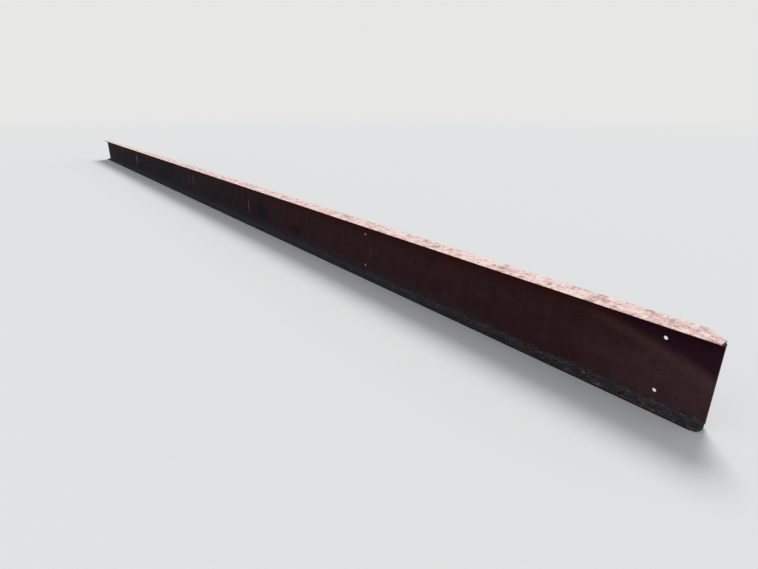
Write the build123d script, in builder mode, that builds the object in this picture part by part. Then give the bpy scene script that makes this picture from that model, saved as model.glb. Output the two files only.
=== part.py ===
"""One length of hot-rolled steel girder, lying on its lower flange.

All sizes are in millimetres. The girder runs along X, its web stands in the XZ plane and +Z is up.
The origin is in the middle of the underside. The bolted end, with the slanted cut, is at +X.
"""

from build123d import *

import os

# The stock: a 20 inch standard beam of 66 pounds to the foot, in its 50 foot length
length = 15240.0
depth = 508.0
flange_width = 159.0
web_thickness = 12.8

# Each flange is thinnest at its edge, and its inner face falls away towards the web
flange_edge_thickness = 14.0
flange_slope = 1 / 6
root_radius = 15.2
toe_radius = 7.6
corner_radius = 1.5

# Bolt holes through the web, one above the other: a pair near the +X end and a closer pair further in
hole_diameter = 24.0
hole_setback = 270.0
hole_spacing = 320.0
pair_spacing = 2725.0
inner_hole_spacing = 300.0

# Slanted cut at the +X end: the near half of each flange and the web stay square, and the far half
# of each flange runs back from the near face of the web, by this much at the flange's far edge
clip_setback = 115.0

# Where those sizes put the faces
end_x = length / 2
flange_edge = flange_width / 2
web_face = web_thickness / 2
mid_height = depth / 2
root_thickness = flange_edge_thickness + (flange_edge - web_face) * flange_slope

# Each pair of bolt holes is set out on the near face of the web, about the middle of its height
end_pair = Plane(
    origin=(end_x - hole_setback, -web_face, mid_height), x_dir=(1, 0, 0), z_dir=(0, -1, 0)
)
inner_pair = Plane(
    origin=(end_x - hole_setback - pair_spacing, -web_face, mid_height),
    x_dir=(1, 0, 0),
    z_dir=(0, -1, 0),
)

# The cut goes through a flange where it is thickest, so it meets the web at both flanges
lower_clip = Plane.XY
upper_clip = Plane.XY.offset(depth - root_thickness)

with BuildPart() as girder:
    # The rolled section, drawn at the square end and carried along the whole length
    with BuildSketch(Plane.YZ.offset(-end_x)) as section:
        with BuildLine():
            Polyline(
                (0, 0),
                (flange_edge, 0),
                (flange_edge, flange_edge_thickness),
                (web_face, root_thickness),
                (web_face, depth - root_thickness),
                (flange_edge, depth - flange_edge_thickness),
                (flange_edge, depth),
                (0, depth),
                close=True,
            )
        make_face()
        mirror(about=Plane.YZ)

        # The flanges run into the web in a hollow curve on both sides
        columns = section.vertices().group_by(Axis.X)
        fillet(columns[1] + columns[2], root_radius)

        # Their outer corners are all but sharp, and the corners that face each other are round
        columns = section.vertices().group_by(Axis.X)
        levels = (columns[0] + columns[-1]).group_by(Axis.Y)
        fillet(levels[0] + levels[-1], corner_radius)
        columns = section.vertices().group_by(Axis.X)
        levels = (columns[0] + columns[-1]).group_by(Axis.Y)
        fillet(levels[1] + levels[2], toe_radius)
    extrude(amount=length)

    # Both pairs of holes are drilled square through the web
    for pair, spacing in ((end_pair, hole_spacing), (inner_pair, inner_hole_spacing)):
        with Locations(pair):
            with GridLocations(0, spacing, 1, 2):
                Hole(radius=hole_diameter / 2)

    # The corner beyond the slanted cut comes off both flanges
    with BuildSketch(lower_clip, upper_clip) as corners:
        with BuildLine():
            Polyline(
                (end_x, -web_face),
                (end_x, flange_edge),
                (end_x - clip_setback, flange_edge),
                close=True,
            )
        make_face()
    extrude(amount=root_thickness, mode=Mode.SUBTRACT)

girder.part.label = "girder"

os.makedirs("parts", exist_ok=True)
export_step(girder.part, "parts/girder.step")
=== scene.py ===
"""Dresses one length of rolled steel girder, in metres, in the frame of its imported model.

The girder lies along X on its lower flange. Its bolted end, with the slanted cut, is at +X, and the
near side of its web faces -Y. Places along it are given as distances back from the +X end.
"""

import logging
import math
from collections.abc import Callable, Iterable
from dataclasses import dataclass, field
from enum import Enum

import bpy
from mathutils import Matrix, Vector


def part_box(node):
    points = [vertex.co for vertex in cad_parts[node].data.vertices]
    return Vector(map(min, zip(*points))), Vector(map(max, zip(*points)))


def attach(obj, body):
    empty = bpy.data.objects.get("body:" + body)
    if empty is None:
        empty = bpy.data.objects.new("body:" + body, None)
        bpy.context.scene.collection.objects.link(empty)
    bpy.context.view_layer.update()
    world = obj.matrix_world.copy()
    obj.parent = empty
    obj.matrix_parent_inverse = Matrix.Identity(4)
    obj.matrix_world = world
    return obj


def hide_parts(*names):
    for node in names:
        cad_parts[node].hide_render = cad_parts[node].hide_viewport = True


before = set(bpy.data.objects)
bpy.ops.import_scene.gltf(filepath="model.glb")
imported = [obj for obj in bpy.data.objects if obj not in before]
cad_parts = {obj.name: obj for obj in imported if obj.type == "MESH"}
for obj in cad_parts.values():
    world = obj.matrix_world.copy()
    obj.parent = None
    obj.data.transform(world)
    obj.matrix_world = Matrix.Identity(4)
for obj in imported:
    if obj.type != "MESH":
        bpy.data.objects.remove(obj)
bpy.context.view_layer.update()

log = logging.getLogger("girder_scene")

Colour = tuple[float, float, float]
Coat = tuple[bpy.types.NodeSocket, float, float, float, Colour]
MM = 0.001
SCREEN_WHITE = 255
GIRDER_LOW, GIRDER_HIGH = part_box("girder")


def back_from_end(distance: float) -> float:
    """Turns a distance back from the bolted end into a place along X."""
    return GIRDER_HIGH.x - distance


def linear(red: int, green: int, blue: int) -> Colour:
    """Turns a colour as a screen shows it, 0 to 255, into the linear one that a shader takes.

    Args:
        red: the screen's red.
        green: the screen's green.
        blue: the screen's blue.

    Returns:
        The linear colour, 0 to 1.
    """
    def channel(value: int) -> float:
        """Undoes the screen's curve, the standard sRGB one, for one channel."""
        share = value / SCREEN_WHITE
        return share / 12.92 if share <= 0.04045 else ((share + 0.055) / 1.055) ** 2.4

    return channel(red), channel(green), channel(blue)


class Workbench:
    """Edit-mode helpers: each works on the one object that is being made."""

    def __init__(self, piece: bpy.types.Object) -> None:
        """Takes up the mesh object to work on."""
        self.piece = piece
        self.take_up()

    def take_up(self) -> None:
        """Makes the piece the only selected object, and the active one."""
        bpy.ops.object.select_all(action="DESELECT")
        self.piece.select_set(True)
        bpy.context.view_layer.objects.active = self.piece

    def pick(
        self,
        faces: Callable[[bpy.types.MeshPolygon], bool] | None = None,
        edges: Callable[[Vector, Vector], bool] | None = None,
        points: Callable[[Vector], bool] | None = None,
    ) -> int:
        """Selects faces, edges or points by their place, with all else deselected.

        Args:
            faces: tells whether a face is wanted.
            edges: tells whether an edge is wanted, from its two ends.
            points: tells whether a point is wanted.

        Returns:
            How many were selected.
        """
        mode = "FACE" if faces else "EDGE" if edges else "VERT"
        bpy.ops.object.mode_set(mode="EDIT")
        bpy.ops.mesh.select_mode(type=mode)
        bpy.ops.mesh.select_all(action="DESELECT")
        bpy.ops.object.mode_set(mode="OBJECT")
        mesh = self.piece.data
        count = 0
        if faces:
            for face in mesh.polygons:
                face.select = faces(face)
                count += face.select
        elif edges:
            places = [vertex.co for vertex in mesh.vertices]
            for edge in mesh.edges:
                start, end = edge.vertices
                edge.select = edges(places[start], places[end])
                count += edge.select
        elif points:
            for vertex in mesh.vertices:
                vertex.select = points(vertex.co)
                count += vertex.select
        bpy.ops.object.mode_set(mode="EDIT")
        return count

    def pick_all(self) -> None:
        """Selects the whole mesh."""
        bpy.ops.object.mode_set(mode="EDIT")
        bpy.ops.mesh.select_mode(type="VERT")
        bpy.ops.mesh.select_all(action="SELECT")

    def done(self) -> None:
        """Goes back to object mode."""
        bpy.ops.object.mode_set(mode="OBJECT")

    def slice_at(self, place: Vector, normal: Vector) -> None:
        """Cuts new edges through the whole mesh along a plane.

        Args:
            place: a point on the plane.
            normal: the plane's normal.
        """
        self.pick_all()
        bpy.ops.mesh.bisect(plane_co=place, plane_no=normal)
        self.done()

    def split_edges(self, wanted: Callable[[Vector, Vector], bool], cuts: int) -> None:
        """Divides the edges that are wanted, and the faces between them.

        Args:
            wanted: tells whether an edge is wanted, from its two ends.
            cuts: how many cuts each edge gets.
        """
        if self.pick(edges=wanted):
            bpy.ops.mesh.subdivide(number_cuts=cuts)
        self.done()

    def push_points(self, wanted: Callable[[Vector], bool], by: Vector, reach: float) -> None:
        """Moves points, and the mesh around them less and less, as a knock would.

        Args:
            wanted: tells whether a point is moved in full.
            by: how far they go.
            reach: how far around them the mesh follows.
        """
        if self.pick(points=wanted):
            bpy.ops.transform.translate(
                value=by,
                use_proportional_edit=True,
                proportional_edit_falloff="SMOOTH",
                proportional_size=reach,
            )
        self.done()

    def carve(self, name: str, cutter: bpy.types.Object) -> None:
        """Takes another object's shape out of the piece, and removes that object.

        Args:
            name: what the cut is called.
            cutter: the shape to take out.
        """
        self.take_up()
        cut = self.piece.modifiers.new(name, "BOOLEAN")
        cut.object = cutter
        cut.operation = "DIFFERENCE"
        cut.solver = "MANIFOLD"
        self.finish_modifier(cut)
        bpy.data.objects.remove(cutter)

    def finish_modifier(self, modifier: bpy.types.Modifier) -> None:
        """Applies one of the piece's modifiers."""
        bpy.ops.object.modifier_apply(modifier=modifier.name)


@dataclass(frozen=True)
class Mark:
    """One stain or scuff at a place of its own: how far back and across it is, its size and strength."""

    back: float
    across: float
    half_length: float
    half_width: float
    strength: float


class Shader:
    """Builds one procedural material, with short calls for the nodes that this scene uses."""

    # A mix node's sockets for colours, which share their names with those for numbers
    COLOUR_BELOW = 6
    COLOUR_ABOVE = 7
    COLOUR_RESULT = 2

    def __init__(self, name: str) -> None:
        """Starts an empty material.

        Args:
            name: the material's name.
        """
        self.material = bpy.data.materials.new(name)
        self.material.use_nodes = True
        self.tree = self.material.node_tree
        self.tree.nodes.clear()
        self.place = self.node("ShaderNodeTexCoord").outputs["Object"]
        split = self.node("ShaderNodeSeparateXYZ", Vector=self.place)
        self.x, self.y, self.z = split.outputs

    def node(self, kind: str, **inputs: object) -> bpy.types.Node:
        """Adds a node and sets or links its inputs by name.

        Args:
            kind: the node's type.
            inputs: values or other nodes' sockets, by input name, with spaces as underscores.

        Returns:
            The new node.
        """
        made = self.tree.nodes.new(kind)
        for name, value in inputs.items():
            self.give(made.inputs[name.replace("_", " ")], value)
        return made

    def give(self, socket: bpy.types.NodeSocket, value: object) -> None:
        """Links another node's socket to an input, or sets a plain value on it.

        Args:
            socket: the input.
            value: a socket, a number or a colour.
        """
        if isinstance(value, bpy.types.NodeSocket):
            self.tree.links.new(value, socket)
        elif isinstance(value, tuple) and socket.type == "RGBA":
            socket.default_value = (*value, 1.0)
        else:
            socket.default_value = value

    def sum(self, operation: str, first: object, second: object = 0.0) -> bpy.types.NodeSocket:
        """Works out one step of arithmetic.

        Args:
            operation: Blender's name for it, such as ADD or MULTIPLY.
            first: a number or a socket.
            second: a number or a socket.

        Returns:
            The result.
        """
        made = self.tree.nodes.new("ShaderNodeMath")
        made.operation = operation
        self.give(made.inputs[0], first)
        self.give(made.inputs[1], second)
        return made.outputs[0]

    def product(self, *factors: object) -> bpy.types.NodeSocket:
        """Multiplies numbers and sockets together.

        Args:
            factors: two or more of them.

        Returns:
            Their product.
        """
        result = factors[0]
        for factor in factors[1:]:
            result = self.sum("MULTIPLY", result, factor)
        return result

    def fade(
        self, value: object, start: float, end: float, low: float = 0.0, high: float = 1.0
    ) -> bpy.types.NodeSocket:
        """Goes smoothly from one level to another as a value crosses a range.

        Args:
            value: what is measured.
            start: where the change starts.
            end: where it ends, which may be below the start.
            low: the level before it.
            high: the level after it.

        Returns:
            The level.
        """
        made = self.tree.nodes.new("ShaderNodeMapRange")
        made.interpolation_type = "SMOOTHSTEP"
        if start > end:
            start, end, low, high = end, start, high, low
        for name, given in (
            ("Value", value),
            ("From Min", start),
            ("From Max", end),
            ("To Min", low),
            ("To Max", high),
        ):
            self.give(made.inputs[name], given)
        return made.outputs["Result"]

    def stretched(
        self, x: float, y: float, z: float, shift: tuple[float, float, float] = (0.0, 0.0, 0.0)
    ) -> bpy.types.NodeSocket:
        """Gives the place on the piece, scaled along each axis and moved.

        Args:
            x: the scale along X.
            y: the scale along Y.
            z: the scale along Z.
            shift: how far it is moved, which makes one pattern unlike another.

        Returns:
            The scaled place.
        """
        made = self.node("ShaderNodeMapping", Vector=self.place)
        made.inputs["Location"].default_value = shift
        made.inputs["Scale"].default_value = (x, y, z)
        return made.outputs["Vector"]

    def noise(
        self,
        scale: float,
        detail: float = 4.0,
        roughness: float = 0.55,
        place: bpy.types.NodeSocket | None = None,
    ) -> bpy.types.NodeSocket:
        """Adds a noise pattern.

        Args:
            scale: features to the metre, or to the unit of a stretched place.
            detail: how many finer layers it has.
            roughness: how strong they are.
            place: the place to read, or the plain one.

        Returns:
            The noise, about 0.25 to 0.75.
        """
        made = self.node(
            "ShaderNodeTexNoise",
            Vector=place or self.place,
            Scale=scale,
            Detail=detail,
            Roughness=roughness,
        )
        return made.outputs["Fac"]

    def mix(self, share: object, below: object, above: object) -> bpy.types.NodeSocket:
        """Lays one colour over another.

        Args:
            share: how much of the upper colour shows.
            below: the lower colour.
            above: the upper colour.

        Returns:
            The mixed colour.
        """
        made = self.tree.nodes.new("ShaderNodeMix")
        made.data_type = "RGBA"
        self.give(made.inputs["Factor"], share)
        self.give(made.inputs[self.COLOUR_BELOW], below)
        self.give(made.inputs[self.COLOUR_ABOVE], above)
        return made.outputs[self.COLOUR_RESULT]

    def coats(self, colour: bpy.types.NodeSocket, *coats: Coat) -> bpy.types.NodeSocket:
        """Lays coats of paint over a colour, each where its pattern crosses a range.

        Args:
            colour: the colour under them.
            coats: each coat's pattern, where it starts, where it is full, its strength and its paint.

        Returns:
            The painted colour.
        """
        for pattern, start, full, strength, paint in coats:
            colour = self.mix(self.fade(pattern, start, full, 0.0, strength), colour, paint)
        return colour

    def hypotenuse(self, first: object, second: object) -> bpy.types.NodeSocket:
        """Gives the distance that two distances at right angles make."""
        return self.sum("SQRT", self.sum("ADD", self.product(first, first), self.product(second, second)))

    def about_zero(self, pattern: bpy.types.NodeSocket, spread: float) -> bpy.types.NodeSocket:
        """Turns a noise about one half into one about zero, of the spread that is given."""
        return self.product(self.sum("SUBTRACT", pattern, 0.5), spread)

    def spot(
        self,
        mark: Mark,
        across: bpy.types.NodeSocket,
        warp: bpy.types.NodeSocket,
        soft: float,
        wander: float = 2.2,
    ) -> bpy.types.NodeSocket:
        """Makes a soft-edged oval mark with a ragged outline.

        Args:
            mark: the mark's place and size.
            across: the direction across the face, Y on a flange or Z on the web.
            warp: noise that makes the outline ragged.
            soft: how far inside the outline the mark starts to fade.
            wander: how far the outline strays, in half sizes of the mark.

        Returns:
            The mark, 1 in its middle and 0 outside.
        """
        from_middle = self.sum("SUBTRACT", self.x, back_from_end(mark.back))
        along = self.sum("DIVIDE", from_middle, mark.half_length)
        over = self.sum("DIVIDE", self.sum("SUBTRACT", across, mark.across), mark.half_width)
        ragged = self.sum("ADD", self.hypotenuse(along, over), self.about_zero(warp, wander))
        return self.fade(ragged, 1.0, 1.0 - soft)

    def bump(
        self, height: object, depth: float, strength: float, under: bpy.types.NodeSocket | None = None
    ) -> bpy.types.NodeSocket:
        """Adds relief to the shading.

        Args:
            height: the pattern.
            depth: how deep it is, in metres.
            strength: how much of it shows.
            under: the normal of coarser relief.

        Returns:
            The normal.
        """
        made = self.node("ShaderNodeBump", Height=height, Distance=depth, Strength=strength)
        if under is not None:
            self.give(made.inputs["Normal"], under)
        return made.outputs["Normal"]

    def finish(self, **inputs: object) -> bpy.types.Material:
        """Ends the material in one surface shader.

        Args:
            inputs: the shader's inputs by name, with spaces as underscores.

        Returns:
            The material.
        """
        surface = self.node("ShaderNodeBsdfPrincipled", **inputs)
        output = self.tree.nodes.new("ShaderNodeOutputMaterial")
        self.tree.links.new(surface.outputs["BSDF"], output.inputs["Surface"])
        return self.material


@dataclass(frozen=True)
class Primer:
    """Worn red-oxide primer: dark on the web, with painted shade under the upper flange and towards the
    far end; chalked pink on top, with a painted sunlit highlight; dusty on the lower flange.
    """

    near_brown: Colour = linear(90, 62, 68)
    maroon: Colour = linear(70, 43, 46)
    slate: Colour = linear(53, 41, 46)
    # Painted shade and haze of the far end
    far_shade_blue: Colour = linear(38, 36, 47)
    # Painted shade just under the upper flange
    painted_shade_red: Colour = linear(80, 38, 34)
    wine: Colour = linear(54, 22, 41)
    rim_brown: Colour = linear(108, 77, 67)
    damp: Colour = linear(33, 34, 37)
    warm_brown: Colour = linear(94, 66, 64)
    bright_red: Colour = linear(112, 46, 46)
    streak_pale: Colour = linear(96, 72, 74)
    streak_dark: Colour = linear(48, 30, 33)
    runs: Colour = linear(160, 150, 146)
    # The upper face: chalked primer, partly a painted sunlit highlight
    sunlit_chalk_pink: Colour = linear(243, 211, 206)
    sunlit_chalk_rose: Colour = linear(234, 198, 192)
    sunlit_chalk_cream: Colour = linear(246, 228, 214)
    sunlit_chalk_straw: Colour = linear(244, 231, 202)
    sunlit_chalk_white: Colour = linear(252, 232, 221)
    sunlit_chalk_tan: Colour = linear(176, 142, 133)
    sunlit_chalk_grey: Colour = linear(142, 122, 114)
    smudge: Colour = linear(100, 92, 80)
    dust: Colour = linear(68, 72, 78)
    dust_brown: Colour = linear(60, 52, 46)
    chaff: Colour = linear(144, 145, 134)
    grime_dark: Colour = linear(34, 28, 26)
    soil: Colour = linear(48, 37, 24)
    rust: Colour = linear(118, 62, 40)
    rust_dark: Colour = linear(66, 36, 30)
    upper_edge: Colour = linear(32, 10, 10)
    grain_dark: Colour = (0.02, 0.012, 0.01)
    under_flange_shade_from: float = 0.370
    under_flange_shade_full: float = 0.465
    arc_height: float = 0.265
    arc_rise: float = 0.4
    arc_fall: float = 0.2
    grime_top: float = 62 * MM
    grime_full: float = 22 * MM
    veil_top: float = 0.17
    veil_full: float = 0.03
    splash_top: float = 0.13
    splash_full: float = 0.045
    web_runs: tuple[Mark, ...] = (
        Mark(5.700, 0.229, 0.021, 0.124, 0.62),
        Mark(11.96, 0.306, 0.080, 0.127, 0.70),
        Mark(12.07, 0.130, 0.057, 0.049, 0.45),
        Mark(2.910, 0.240, 0.014, 0.085, 0.10),
        Mark(7.990, 0.313, 0.048, 0.118, 0.26),
        Mark(8.240, 0.304, 0.034, 0.108, 0.20),
        Mark(8.600, 0.245, 0.038, 0.098, 0.20),
        Mark(4.776, 0.391, 0.012, 0.012, 0.90),
    )
    web_darks: tuple[Mark, ...] = (
        Mark(5.300, 0.228, 0.270, 0.165, 0.90),
        Mark(4.390, 0.160, 0.180, 0.085, 0.85),
        Mark(9.400, 0.340, 1.150, 0.200, 0.75),
        Mark(8.890, 0.333, 0.048, 0.020, 0.45),
    )
    web_reds: tuple[Mark, ...] = (
        Mark(4.915, 0.352, 0.058, 0.040, 0.55),
        Mark(0.340, 0.440, 0.040, 0.016, 0.28),
        Mark(0.620, 0.300, 0.050, 0.060, 0.20),
        Mark(1.890, 0.381, 0.120, 0.050, 0.30),
    )
    top_smudges: tuple[Mark, ...] = (
        Mark(0.978, -0.028, 0.010, 0.030, 0.45),
        Mark(0.890, -0.008, 0.004, 0.009, 0.60),
        Mark(0.496, -0.043, 0.004, 0.006, 0.80),
        Mark(0.216, -0.028, 0.004, 0.010, 0.85),
        Mark(0.062, -0.010, 0.012, 0.004, 0.85),
        Mark(0.045, -0.018, 0.005, 0.008, 0.70),
        Mark(1.384, -0.003, 0.045, 0.050, 0.55),
        Mark(1.560, 0.033, 0.012, 0.018, 0.65),
        Mark(1.454, -0.038, 0.048, 0.022, 0.35),
        Mark(2.033, 0.031, 0.012, 0.016, 0.70),
        Mark(2.038, -0.020, 0.042, 0.042, 0.55),
        Mark(2.216, -0.013, 0.040, 0.026, 0.32),
        Mark(2.371, 0.029, 0.014, 0.024, 0.55),
        Mark(3.330, 0.021, 0.040, 0.040, 0.45),
        Mark(3.566, -0.028, 0.050, 0.028, 0.36),
        Mark(4.984, 0.026, 0.060, 0.036, 0.42),
        Mark(5.480, -0.018, 0.070, 0.030, 0.32),
        Mark(8.220, 0.002, 0.180, 0.040, 0.30),
        Mark(10.61, 0.011, 0.140, 0.044, 0.26),
    )
    top_creams: tuple[Mark, ...] = (
        Mark(0.700, -0.043, 0.120, 0.040, 0.30),
        Mark(0.200, -0.043, 0.060, 0.035, 0.28),
    )

    def material(self) -> bpy.types.Material:
        """Makes the finish."""
        return PrimerShader(self).all_coats()


class PrimerShader(Shader):
    """Paints the primer coat by coat, from the web's colours and painted shade to the chalked top and its
    painted sunlit highlight.
    """

    def __init__(self, primer: Primer) -> None:
        """Starts the material, with the measures that its coats share.

        Args:
            primer: the colours, heights and marks to paint with.
        """
        super().__init__("worn_red_oxide_primer")
        self.primer = primer
        self.warp = self.noise(34.0, 4.0, 0.6)
        self.distance = self.sum("SUBTRACT", GIRDER_HIGH.x, self.x)
        self.near_side = self.fade(self.y, 0.0, -4 * MM)

    def marks(
        self,
        colour: bpy.types.NodeSocket,
        marks: tuple[Mark, ...],
        paint: Colour,
        across: bpy.types.NodeSocket,
        soft: float,
        share: object = 1.0,
    ) -> bpy.types.NodeSocket:
        """Lays a set of marks over a colour.

        Args:
            colour: the colour under them.
            marks: the marks.
            paint: the colour they are made with.
            across: the direction across the face, Y on a flange or Z on the web.
            soft: how soft the outlines are.
            share: where marks may show at all.

        Returns:
            The colour with its marks.
        """
        for mark in marks:
            shape = self.spot(mark, across, self.warp, soft)
            colour = self.mix(self.product(shape, mark.strength, share), colour, paint)
        return colour

    def web(self) -> bpy.types.NodeSocket:
        """Colours the web and all that is neither chalked nor dirty.

        Returns:
            The colour.
        """
        primer = self.primer
        broad = self.noise(0.9, 3.0, 0.5, self.stretched(1.0, 1.0, 2.4))
        mottle = self.noise(9.0, 5.0, 0.6, self.stretched(1.0, 1.0, 1.0, (4.1, 0.0, 0.0)))
        wide = self.noise(1.0, 4.0, 0.6, self.stretched(9.0, 3.0, 0.9, (3.1, 0.0, 0.0)))
        fine = self.noise(1.0, 3.0, 0.6, self.stretched(52.0, 4.0, 1.8, (7.7, 0.0, 0.4)))
        patchy = self.noise(1.7, 2.0, 0.5, self.stretched(1.0, 1.0, 1.0, (0.0, 0.0, 6.6)))
        blotch = self.noise(24.0, 5.0, 0.65, self.stretched(1.0, 1.0, 1.0, (5.0, 0.0, 2.7)))
        flecks = self.noise(95.0, 4.0, 0.7, self.stretched(1.0, 1.0, 1.0, (0.0, 0.0, 9.1)))

        # The web's tint shifts along the length: brown at the bolted end, then maroon, then slate and
        # blue-black towards the far end; the slate and blue-black are painted shade and haze
        drift = self.sum("ADD", self.distance, self.about_zero(broad, 3.0))
        colour = self.mix(self.fade(drift, -0.25, 0.75), primer.near_brown, primer.maroon)
        colour = self.coats(
            colour,
            (drift, 3.6, 6.4, 1.0, primer.slate),
            (drift, 7.6, 10.6, 1.0, primer.far_shade_blue),
            (mottle, 0.50, 0.70, 0.38, primer.streak_dark),
            (mottle, 0.46, 0.28, 0.34, primer.warm_brown),
            (wide, 0.54, 0.74, 0.15, primer.streak_pale),
        )
        pale_lines = self.product(self.fade(fine, 0.55, 0.76, 0.0, 0.18), self.fade(patchy, 0.40, 0.62))
        colour = self.mix(pale_lines, colour, primer.streak_pale)
        colour = self.coats(
            colour,
            (fine, 0.46, 0.28, 0.14, primer.streak_dark),
            (blotch, 0.52, 0.68, 0.34, primer.streak_dark),
            (flecks, 0.56, 0.70, 0.46, primer.streak_pale),
            (flecks, 0.44, 0.32, 0.42, primer.streak_dark),
        )

        # Redder and darker just under the upper flange, most near the bolted end: painted shade under the
        # overhang
        ragged_height = self.sum("ADD", self.z, self.about_zero(self.warp, 30 * MM))
        under_flange_shade = self.product(
            self.fade(ragged_height, primer.under_flange_shade_from, primer.under_flange_shade_full),
            self.fade(self.distance, 3.5, 7.0, 0.88, 0.35),
        )
        colour = self.arc_near_end(self.mix(under_flange_shade, colour, primer.painted_shade_red))

        colour = self.marks(colour, primer.web_runs, primer.runs, self.z, 0.8, self.near_side)
        colour = self.marks(colour, primer.web_darks, primer.damp, self.z, 0.9, self.near_side)
        return self.marks(colour, primer.web_reds, primer.bright_red, self.z, 0.9, self.near_side)

    def arc_near_end(self, colour: bpy.types.NodeSocket) -> bpy.types.NodeSocket:
        """Lays the curved edge near the bolted end, wine red above it and brown below.

        Args:
            colour: the colour under it.

        Returns:
            The colour with both bands.
        """
        primer = self.primer
        fall = self.product(self.distance, self.distance, primer.arc_fall)
        bend = self.sum("SUBTRACT", self.product(self.distance, primer.arc_rise), fall)
        above = self.sum("SUBTRACT", self.z, self.sum("ADD", primer.arc_height, bend))
        close = self.product(self.fade(self.distance, 0.85, 0.50), self.near_side)
        above_arc = self.product(self.fade(above, -5 * MM, 55 * MM), close, 0.85)
        colour = self.mix(above_arc, colour, primer.wine)
        lower_side = self.fade(above, -88 * MM, -30 * MM)
        rim = self.product(lower_side, self.fade(above, 15 * MM, -20 * MM), close)
        return self.mix(self.product(rim, 0.37), colour, primer.rim_brown)

    def rust_blooms(self, colour: bpy.types.NodeSocket) -> bpy.types.NodeSocket:
        """Lets rust bloom through the primer, most of all near the bolted end.

        Args:
            colour: the colour under it.

        Returns:
            The colour with its rust.
        """
        blooms = self.noise(7.0, 8.0, 0.68, self.stretched(1.0, 1.0, 1.0, (2.2, 0.0, 1.1)))
        blooms = self.sum("ADD", blooms, self.fade(self.distance, 0.60, 0.0, 0.0, 0.07))
        return self.coats(
            colour,
            (blooms, 0.60, 0.70, 0.5, self.primer.rust_dark),
            (blooms, 0.67, 0.77, 0.5, self.primer.rust),
        )

    def grime(self) -> bpy.types.NodeSocket:
        """Colours the grime and chaff that lie on the lower flange.

        Returns:
            The colour.
        """
        primer = self.primer
        clods = self.noise(30.0, 6.0, 0.68)
        along = self.noise(1.0, 5.0, 0.65, self.stretched(7.0, 70.0, 70.0, (0.0, 5.0, 2.0)))
        strands = self.noise(1.0, 5.0, 0.7, self.stretched(24.0, 150.0, 150.0, (3.0, 0.0, 4.0)))
        colour = self.mix(self.fade(clods, 0.44, 0.60), primer.dust, primer.dust_brown)
        colour = self.coats(
            colour,
            (along, 0.52, 0.62, 0.55, primer.near_brown),
            (along, 0.48, 0.38, 0.80, primer.grime_dark),
            (strands, 0.46, 0.38, 0.70, primer.grime_dark),
            (strands, 0.54, 0.62, 0.80, primer.chaff),
        )
        outer = self.fade(self.sum("ABSOLUTE", self.y), 46 * MM, 66 * MM)
        worn_clean = self.product(outer, self.fade(self.distance, 0.3, 1.2), 0.45)
        return self.mix(worn_clean, colour, primer.grime_dark)

    def settled_dirt(self, colour: bpy.types.NodeSocket) -> bpy.types.NodeSocket:
        """Lays the grime, dust and splashes that settle low down.

        Args:
            colour: the colour under them.

        Returns:
            The colour with its dirt.
        """
        primer = self.primer
        drifts = self.noise(1.0, 5.0, 0.6, self.stretched(5.0, 9.0, 9.0, (0.0, 1.3, 6.0)))
        raised = self.sum("ADD", self.about_zero(self.warp, 22 * MM), self.about_zero(drifts, 70 * MM))
        lying = self.fade(self.sum("ADD", self.z, raised), primer.grime_top, primer.grime_full)
        above_sole = self.fade(self.z, 8 * MM, 14 * MM)
        colour = self.mix(self.product(lying, above_sole, 0.86), colour, self.grime())

        low = self.fade(self.z, primer.veil_top, primer.veil_full)
        veil = self.product(low, self.fade(self.distance, 0.3, 3.6), 0.42)
        colour = self.mix(veil, colour, primer.dust)

        splashed = self.noise(1.0, 6.0, 0.66, self.stretched(11.0, 20.0, 26.0, (0.0, 3.0, 8.0)))
        splash_height = self.fade(self.z, primer.splash_top, primer.splash_full)
        splashes = self.product(self.fade(splashed, 0.50, 0.64), splash_height, 0.55)
        return self.mix(splashes, colour, primer.dust)

    def flange_edges(self, colour: bpy.types.NodeSocket) -> bpy.types.NodeSocket:
        """Darkens the long edges of the upper flange, and soils those of the lower one.

        Args:
            colour: the colour under it.

        Returns:
            The colour with its edges.
        """
        side = self.sum("ABSOLUTE", self.y)
        edge = self.fade(side, GIRDER_HIGH.y - 3 * MM, GIRDER_HIGH.y - 0.8 * MM)
        edge_colour = self.mix(self.fade(self.z, 0.2, 0.3), self.primer.soil, self.primer.upper_edge)
        chips = self.noise(48.0, 6.0, 0.7, self.stretched(1.0, 1.0, 0.4))
        chipped = self.fade(chips, 0.40, 0.60, 0.72, 1.0)
        return self.mix(self.product(edge, chipped), colour, edge_colour)

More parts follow.
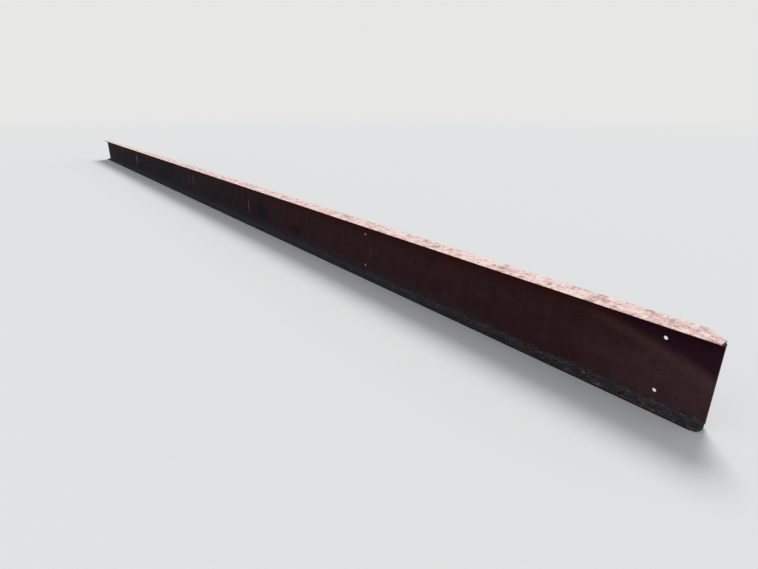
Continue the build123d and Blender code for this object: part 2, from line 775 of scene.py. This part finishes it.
    def chalk_and_sun_highlight(self) -> bpy.types.NodeSocket:
        """Colours the upper face of the girder: chalked primer, painted paler still as a painted sunlit
        highlight.

        Returns:
            The colour.
        """
        primer = self.primer
        patches = self.noise(3.2, 5.0, 0.6, self.stretched(1.0, 2.0, 1.0, (1.7, 0.0, 0.0)))
        cream = self.noise(5.0, 4.0, 0.6, self.stretched(1.0, 1.5, 1.0, (9.3, 2.0, 0.0)))
        mottle = self.noise(19.0, 4.0, 0.62, self.stretched(1.0, 1.0, 1.0, (0.0, 7.1, 0.0)))
        speckle = self.noise(46.0, 3.0, 0.62)
        brushed = self.noise(1.0, 3.0, 0.6, self.stretched(3.0, 130.0, 1.0))
        colour = self.mix(self.fade(patches, 0.40, 0.62), primer.sunlit_chalk_pink, primer.sunlit_chalk_rose)
        colour = self.coats(
            colour,
            (cream, 0.52, 0.68, 0.70, primer.sunlit_chalk_cream),
            (self.distance, 9.4, 11.6, 0.70, primer.sunlit_chalk_straw),
            (self.distance, 1.0, 0.0, 0.18, primer.sunlit_chalk_tan),
        )
        colour = self.marks(colour, primer.top_creams, primer.sunlit_chalk_straw, self.y, 0.9)
        colour = self.coats(
            colour,
            (mottle, 0.52, 0.64, 0.78, primer.sunlit_chalk_tan),
            (mottle, 0.47, 0.38, 0.80, primer.sunlit_chalk_white),
            (speckle, 0.56, 0.66, 0.60, primer.sunlit_chalk_grey),
            (speckle, 0.44, 0.36, 0.75, primer.sunlit_chalk_white),
            (brushed, 0.56, 0.76, 0.26, primer.sunlit_chalk_grey),
        )
        return self.marks(colour, primer.top_smudges, primer.smudge, self.y, 0.7)

    def all_coats(self) -> bpy.types.Material:
        """Lays all the coats over one another and gives them their gloss and relief.

        Returns:
            The material.
        """
        colour = self.flange_edges(self.settled_dirt(self.rust_blooms(self.web())))
        ragged_height = self.sum("ADD", self.z, self.about_zero(self.warp, 1.2 * MM))
        top = self.fade(ragged_height, GIRDER_HIGH.z - 2.5 * MM, GIRDER_HIGH.z - 1.5 * MM)
        # The upper face is painted pale: partly the primer's chalking, partly a painted sunlit highlight
        colour = self.mix(top, colour, self.chalk_and_sun_highlight())
        colour = self.coats(colour, (self.noise(420.0, 2.0, 0.6), 0.35, 0.7, 0.10, self.primer.grain_dark))

        rough = self.fade(self.noise(18.0, 5.0, 0.6), 0.3, 0.7, 0.66, 0.86)
        rough = self.sum("MAXIMUM", rough, self.product(top, 0.94))
        coarse = self.bump(self.noise(90.0, 5.0, 0.6), 0.8 * MM, 0.5)
        relief = self.bump(self.noise(520.0, 3.0, 0.6), 0.25 * MM, 0.6, coarse)
        return self.finish(Base_Color=colour, Roughness=rough, Specular_IOR_Level=0.04, Normal=relief)


@dataclass(frozen=True)
class TorchCut:
    """The faces that a cutting torch left at the ends: brown rust over fine upright ripples."""

    brown: Colour = linear(102, 64, 46)
    orange: Colour = linear(138, 82, 50)
    dark: Colour = linear(54, 35, 29)
    ripples: float = 260.0

    def material(self) -> bpy.types.Material:
        """Makes the finish.

        Returns:
            The material.
        """
        shader = Shader("torch_cut_rust")
        cloud = shader.noise(40.0, 6.0, 0.65)
        colour = shader.mix(shader.fade(cloud, 0.40, 0.58), self.dark, self.brown)
        colour = shader.mix(shader.fade(shader.noise(75.0, 5.0, 0.6), 0.52, 0.68), colour, self.orange)
        lines = shader.noise(1.0, 2.0, 0.5, shader.stretched(self.ripples, self.ripples, 22.0))
        colour = shader.mix(shader.fade(lines, 0.35, 0.7, 0.0, 0.35), colour, self.dark)
        relief = shader.bump(lines, 0.9 * MM, 0.8)
        return shader.finish(Base_Color=colour, Roughness=0.88, Normal=relief)


@dataclass(frozen=True)
class Bore:
    """The rusty wall of a drilled hole."""

    dark: Colour = linear(58, 34, 28)
    rust: Colour = linear(120, 66, 40)

    def material(self) -> bpy.types.Material:
        """Makes the finish.

        Returns:
            The material.
        """
        shader = Shader("rusty_bore")
        cloud = shader.noise(120.0, 5.0, 0.6)
        colour = shader.mix(shader.fade(cloud, 0.42, 0.62), self.dark, self.rust)
        relief = shader.bump(shader.noise(600.0, 3.0, 0.6), 0.3 * MM, 0.8)
        return shader.finish(Base_Color=colour, Roughness=0.85, Normal=relief)


class Face(Enum):
    """Which finish a face of the girder takes, by its material slot."""

    PRIMER = 0
    CUT = 1
    BORE = 2


@dataclass(frozen=True)
class HolePair:
    """Two bolt holes, one above the other: how far back they are, and how far apart."""

    back: float
    spacing: float


@dataclass(frozen=True)
class Zone:
    """A stretch between two distances back from the bolted end, and how often it is divided."""

    far: float
    close: float
    cuts: int


@dataclass(frozen=True)
class Skin:
    """One layer of unevenness in the rolled skin: its texture, feature size and depth."""

    name: str
    size: float
    depth: float


@dataclass
class RolledGirder:
    """The girder itself, one rolled length with its holes and its slanted end."""

    web: float = 12.8 * MM
    flange_edge: float = 14.0 * MM
    flange_slope: float = 1 / 6
    root_radius: float = 15.2 * MM
    toe_radius: float = 7.6 * MM
    corner_radius: float = 1.5 * MM
    hole_diameter: float = 24.0 * MM
    hole_pairs: tuple[HolePair, ...] = (HolePair(0.270, 0.320), HolePair(2.995, 0.300))
    clip_setback: float = 115.0 * MM
    cutter_size: float = 0.30
    root_facets: int = 6
    toe_facets: int = 4
    corner_facets: int = 2
    hole_facets: int = 40
    zones: tuple[Zone, ...] = (Zone(0.12, 0.0, 19), Zone(0.60, 0.12, 50), Zone(3.30, 0.60, 140))
    far_cuts: int = 210
    web_cuts: int = 33
    top_cuts: int = 5
    slope_cuts: int = 3
    skins: tuple[Skin, ...] = (
        Skin("rolling_waves", 0.30, 0.5 * MM),
        Skin("pitted_skin", 0.035, 0.2 * MM),
    )
    knock: tuple[float, float, float] = (-9 * MM, 7 * MM, 3 * MM)
    knock_core: float = 7 * MM
    knock_reach: float = 42 * MM
    smooth_below: float = math.radians(28)
    length: float = field(init=False)
    half_width: float = field(init=False)
    depth: float = field(init=False)
    root: float = field(init=False)

    def __post_init__(self) -> None:
        """Reads the outer sizes from the frame, and works out the flange's thickness at the web."""
        self.length = GIRDER_HIGH.x - GIRDER_LOW.x
        self.half_width = GIRDER_HIGH.y
        self.depth = GIRDER_HIGH.z
        self.root = self.flange_edge + (self.half_width - self.web / 2) * self.flange_slope

    def tangent(self, radius: float, angle: float) -> float:
        """Says how far from a corner between two faces, at an angle in radians, its rounding starts."""
        return radius / math.tan(angle / 2)

    def section(self) -> bpy.types.Object:
        """Makes the bare section along the whole length: a web, four flange halves, round edges.

        Returns:
            The new piece.
        """
        bpy.ops.object.select_all(action="DESELECT")
        bpy.ops.mesh.primitive_cube_add(size=1.0, location=(0.0, 0.0, self.depth / 2))
        piece = bpy.context.active_object
        piece.name = "rolled_girder"
        piece.scale = (self.length, self.web, self.depth)
        bpy.ops.object.transform_apply(location=True, rotation=True, scale=True)
        bench = Workbench(piece)
        roots = (self.root, self.depth - self.root)
        for level in roots:
            bench.slice_at(Vector((0.0, 0.0, level)), Vector((0.0, 0.0, 1.0)))

        # Each flange half is drawn out of the web's face, above or below the slices
        for side in (-1, 1):
            bench.pick(
                faces=lambda face, side=side: face.normal.y * side > 0.9
                and abs(face.center.z - self.depth / 2) > self.depth / 2 - self.root
            )
            reach = side * (self.half_width - self.web / 2)
            bpy.ops.mesh.extrude_region_move(TRANSFORM_OT_translate={"value": (0.0, reach, 0.0)})
            bench.done()

        # The inner corners at the flanges' edges then come in, so that each flange is thinnest there
        drop = self.root - self.flange_edge
        for level, way in zip(roots, (-1, 1)):
            bench.pick(points=lambda place, level=level: self.at_edge(place) and self.near(place.z, level))
            bpy.ops.transform.translate(value=(0.0, 0.0, way * drop))
            bench.done()

        slope = math.atan(self.flange_slope)
        root_reach = self.tangent(self.root_radius, math.pi / 2 + slope)
        toe_reach = self.tangent(self.toe_radius, math.pi / 2 - slope)
        toes = (self.flange_edge, self.depth - self.flange_edge)
        soles = (0.0, self.depth)
        self.round_edges(bench, self.web / 2, roots, root_reach, self.root_facets)
        self.round_edges(bench, self.half_width, toes, toe_reach, self.toe_facets)
        self.round_edges(bench, self.half_width, soles, self.corner_radius, self.corner_facets)
        return piece

    def near(self, value: float, wanted: float) -> bool:
        """Tells whether a measure is the wanted one, to a tenth of a millimetre."""
        return abs(value - wanted) < 0.1 * MM

    def at_edge(self, place: Vector) -> bool:
        """Tells whether a point is at the edge of a flange."""
        return self.near(abs(place.y), self.half_width)

    def round_edges(
        self, bench: Workbench, side: float, levels: Iterable[float], reach: float, segments: int
    ) -> None:
        """Rounds the long edges at one distance from the middle and at the given heights.

        Args:
            bench: the piece's workbench.
            side: the edges' distance from the middle of the girder.
            levels: their heights.
            reach: how far from the edge the rounding starts.
            segments: how many facets it has.
        """
        bench.pick(
            edges=lambda start, end: self.is_long(start, end)
            and self.near(abs(start.y), side)
            and any(self.near(start.z, level) for level in levels)
        )
        bpy.ops.mesh.bevel(offset=reach, offset_type="OFFSET", segments=segments, affect="EDGES")
        bench.done()

    def is_long(self, start: Vector, end: Vector) -> bool:
        """Tells whether an edge runs along the girder."""
        run = end - start
        return abs(run.x) > 0.5 * MM and abs(run.y) < 0.02 * MM and abs(run.z) < 0.02 * MM

    def cut_end(self, bench: Workbench) -> None:
        """Takes the slanted corner off both flanges, and leaves the web between them.

        Args:
            bench: the piece's workbench.
        """
        start = -self.web / 2
        run = self.half_width - start
        outward = Vector((run, self.clip_setback, 0.0)).normalized()
        middle = Vector((back_from_end(self.clip_setback / 2), (start + self.half_width) / 2, 0.0))
        beyond = middle + outward * self.cutter_size / 2
        rise = self.cutter_size / 2
        for level in (self.root - rise, self.depth - self.root + rise):
            bpy.ops.object.select_all(action="DESELECT")
            bpy.ops.mesh.primitive_cube_add(
                size=self.cutter_size,
                location=beyond + Vector((0.0, 0.0, level)),
                rotation=(0.0, 0.0, math.atan2(outward.y, outward.x)),
            )
            bench.carve("slanted_cut", bpy.context.active_object)

    def divide(self, bench: Workbench) -> None:
        """Divides the faces finely near the bolted end and more coarsely further off.

        Args:
            bench: the piece's workbench.
        """
        for zone in self.zones:
            bench.slice_at(Vector((back_from_end(zone.far), 0.0, 0.0)), Vector((1.0, 0.0, 0.0)))

        # Up the web, across the upper and lower faces, and up the flanges' inner slopes
        web_foot = self.root + self.root_radius
        bench.split_edges(
            lambda start, end: self.near(abs(start.y), self.web / 2)
            and self.near(abs(end.y), self.web / 2)
            and abs(end.z - start.z) > self.depth - 2 * web_foot,
            self.web_cuts,
        )
        bench.split_edges(
            lambda start, end: self.near(start.z, end.z)
            and (self.near(start.z, 0.0) or self.near(start.z, self.depth))
            and abs(end.y - start.y) > self.half_width / 2
            and self.near(start.x, end.x),
            self.top_cuts,
        )
        bench.split_edges(
            lambda start, end: not self.near(start.z, end.z)
            and abs(end.y - start.y) > self.half_width / 3
            and self.near(start.x, end.x),
            self.slope_cuts,
        )

        # Along it, zone by zone, and then the long rest
        for zone in self.zones:
            middle = back_from_end((zone.far + zone.close) / 2)
            bench.split_edges(
                lambda start, end, middle=middle: self.is_long(start, end)
                and min(start.x, end.x) < middle < max(start.x, end.x),
                zone.cuts,
            )
        bench.split_edges(
            lambda start, end: self.is_long(start, end)
            and min(start.x, end.x) < GIRDER_LOW.x + MM
            and abs(end.x - start.x) > 1.0,
            self.far_cuts,
        )

    def holes(self) -> list[tuple[float, float]]:
        """Finds the bolt holes.

        Returns:
            Each hole's place along the girder and its height.
        """
        return [
            (back_from_end(pair.back), self.depth / 2 + half * pair.spacing)
            for pair in self.hole_pairs
            for half in (-0.5, 0.5)
        ]

    def drill(self, bench: Workbench) -> None:
        """Drills both pairs of holes through the web.

        Args:
            bench: the piece's workbench.
        """
        for x, z in self.holes():
            bpy.ops.object.select_all(action="DESELECT")
            bpy.ops.mesh.primitive_cylinder_add(
                vertices=self.hole_facets,
                radius=self.hole_diameter / 2,
                depth=4 * self.web,
                location=(x, 0.0, z),
                rotation=(math.pi / 2, 0.0, 0.0),
            )
            bench.carve("hole", bpy.context.active_object)

    def wear(self, bench: Workbench) -> None:
        """Gives the steel the slight unevenness of rolling, and knocks its lower corner round.

        Args:
            bench: the piece's workbench.
        """
        for skin in self.skins:
            texture = bpy.data.textures.new(skin.name, "CLOUDS")
            texture.noise_scale = skin.size
            texture.noise_depth = 2
            relief = bench.piece.modifiers.new(skin.name, "DISPLACE")
            relief.texture = texture
            relief.texture_coords = "LOCAL"
            relief.strength = skin.depth
            relief.mid_level = 1.0
            bench.finish_modifier(relief)
        corner = Vector((GIRDER_HIGH.x, -self.half_width, 0.0))
        bench.push_points(
            lambda place: (place - corner).length < self.knock_core, Vector(self.knock), self.knock_reach
        )

    def dress(self, piece: bpy.types.Object) -> None:
        """Gives each face its finish, and smooths the shading across shallow edges.

        Args:
            piece: the girder.
        """
        piece.data.materials.clear()
        for finish in (Primer(), TorchCut(), Bore()):
            piece.data.materials.append(finish.material())
        holes = self.holes()
        for face in piece.data.polygons:
            face.material_index = self.finish_of(face, holes).value
        bpy.ops.object.shade_smooth_by_angle(angle=self.smooth_below)

    def finish_of(self, face: bpy.types.MeshPolygon, holes: list[tuple[float, float]]) -> Face:
        """Chooses a face's finish from its place and direction.

        Args:
            face: a face of the girder.
            holes: each hole's place along the girder and its height.

        Returns:
            The finish.
        """
        end_on = abs(face.normal.x) > 0.5 and abs(face.normal.z) < 0.3
        bolted_end = face.center.x > back_from_end(self.clip_setback + 5 * MM)
        square_end = face.center.x < GIRDER_LOW.x + 2 * MM
        if end_on and (bolted_end or square_end):
            return Face.CUT
        for x, z in holes:
            reach = math.hypot(face.center.x - x, face.center.z - z)
            if reach < self.hole_diameter / 2 + 0.5 * MM and abs(face.normal.y) < 0.5:
                return Face.BORE
        return Face.PRIMER

    def build(self) -> bpy.types.Object:
        """Makes the whole piece.

        Returns:
            The finished girder.
        """
        piece = self.section()
        bench = Workbench(piece)
        self.divide(bench)
        self.drill(bench)
        self.cut_end(bench)
        self.wear(bench)
        self.dress(piece)
        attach(piece, "root")
        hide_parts("girder")
        return piece


@dataclass
class Studio:
    """The plain room around the girder: a pale floor, soft light and the camera."""

    floor_colour: Colour = (0.74, 0.74, 0.73)
    floor_bounce: Colour = (0.26, 0.26, 0.26)
    backdrop: Colour = (0.80, 0.80, 0.79)
    fill_colour: Colour = (0.93, 0.96, 1.0)
    ambient: float = 0.55
    key_strength: float = 2.05
    key_angle: float = math.radians(24)
    key_from: tuple[float, float, float] = (-0.35, 0.62, 0.90)
    floor_reach: float = 90.0
    floor_facets: int = 96
    fade_start: float = 14.0
    fade_end: float = 45.0
    focal_pixels: float = 496.2
    image_width: float = 758.0
    sensor_width: float = 36.0
    nearest_seen: float = 0.05
    furthest_seen: float = 400.0
    pitch_down: float = math.radians(20.58)
    turn: float = math.radians(37.19)
    beyond_end: float = 0.6915
    off_side: float = 2.557
    eye_height: float = 1.601

    def floor(self) -> None:
        """Lays a large pale floor that runs into the backdrop's colour far from the girder."""
        bpy.ops.object.select_all(action="DESELECT")
        bpy.ops.mesh.primitive_circle_add(
            vertices=self.floor_facets, radius=self.floor_reach, fill_type="NGON"
        )
        floor = bpy.context.active_object
        floor.name = "studio_floor"
        shader = Shader("pale_floor")
        distance = shader.hypotenuse(shader.x, shader.y)
        far_off = shader.fade(distance, self.fade_start, self.fade_end)
        seen = shader.node("ShaderNodeLightPath")
        direct = shader.sum("MAXIMUM", seen.outputs["Is Camera Ray"], seen.outputs["Is Glossy Ray"])
        paint = shader.mix(direct, self.floor_bounce, self.floor_colour)
        matt = shader.node("ShaderNodeBsdfDiffuse", Color=paint)
        glow = shader.node("ShaderNodeEmission", Color=self.backdrop)
        blend = shader.tree.nodes.new("ShaderNodeMixShader")
        shader.give(blend.inputs[0], shader.product(far_off, direct))
        shader.give(blend.inputs[1], matt.outputs[0])
        shader.give(blend.inputs[2], glow.outputs[0])
        output = shader.tree.nodes.new("ShaderNodeOutputMaterial")
        shader.give(output.inputs["Surface"], blend.outputs[0])
        floor.data.materials.append(shader.material)

    def light(self) -> None:
        """Hangs one broad lamp on the far side and fills the room with even light."""
        lamp = bpy.data.lights.new("key", "SUN")
        lamp.energy = self.key_strength
        lamp.angle = self.key_angle
        key = bpy.data.objects.new("key", lamp)
        key.rotation_mode = "QUATERNION"
        key.rotation_quaternion = Vector(self.key_from).to_track_quat("Z", "Y")
        bpy.context.scene.collection.objects.link(key)

        world = bpy.data.worlds.new("studio")
        world.use_nodes = True
        nodes, links = world.node_tree.nodes, world.node_tree.links
        nodes.clear()
        seen = nodes.new("ShaderNodeLightPath")
        direct = nodes.new("ShaderNodeMath")
        direct.operation = "MAXIMUM"
        links.new(seen.outputs["Is Camera Ray"], direct.inputs[0])
        links.new(seen.outputs["Is Transmission Ray"], direct.inputs[1])
        fill = nodes.new("ShaderNodeBackground")
        fill.inputs["Color"].default_value = (*self.fill_colour, 1.0)
        fill.inputs["Strength"].default_value = self.ambient
        backdrop = nodes.new("ShaderNodeBackground")
        backdrop.inputs["Color"].default_value = (*self.backdrop, 1.0)
        backdrop.inputs["Strength"].default_value = 1.0
        blend = nodes.new("ShaderNodeMixShader")
        output = nodes.new("ShaderNodeOutputWorld")
        links.new(direct.outputs[0], blend.inputs[0])
        links.new(fill.outputs[0], blend.inputs[1])
        links.new(backdrop.outputs[0], blend.inputs[2])
        links.new(blend.outputs[0], output.inputs["Surface"])
        bpy.context.scene.world = world

    def camera(self) -> None:
        """Sets the camera at the photograph's viewing angle, without roll or lens shift."""
        lens = bpy.data.cameras.new("camera")
        lens.sensor_width = self.sensor_width
        lens.lens = self.focal_pixels / self.image_width * lens.sensor_width
        lens.clip_start = self.nearest_seen
        lens.clip_end = self.furthest_seen
        camera = bpy.data.objects.new("camera", lens)
        level = math.cos(self.pitch_down)
        ahead = Vector(
            (-math.cos(self.turn) * level, math.sin(self.turn) * level, -math.sin(self.pitch_down))
        )
        camera.location = (
            GIRDER_HIGH.x + self.beyond_end,
            GIRDER_LOW.y - self.off_side,
            GIRDER_LOW.z + self.eye_height,
        )
        camera.rotation_mode = "QUATERNION"
        camera.rotation_quaternion = ahead.to_track_quat("-Z", "Y")
        bpy.context.scene.collection.objects.link(camera)
        bpy.context.scene.camera = camera

    def build(self) -> None:
        """Sets up the whole room and the plain view of its colours."""
        self.floor()
        self.light()
        self.camera()
        bpy.context.scene.view_settings.view_transform = "Standard"


def report(piece: bpy.types.Object) -> None:
    """Logs how many faces and triangles a finished piece has."""
    triangles = sum(len(face.vertices) - 2 for face in piece.data.polygons)
    log.info("%s: %d faces, %d triangles", piece.name, len(piece.data.polygons), triangles)


def main() -> None:
    """Builds the girder and its room, and reports each piece."""
    logging.basicConfig(level=logging.INFO, format="%(name)s: %(message)s")
    girder = RolledGirder().build()
    report(girder)
    Studio().build()


if __name__ == "__main__":
    main()
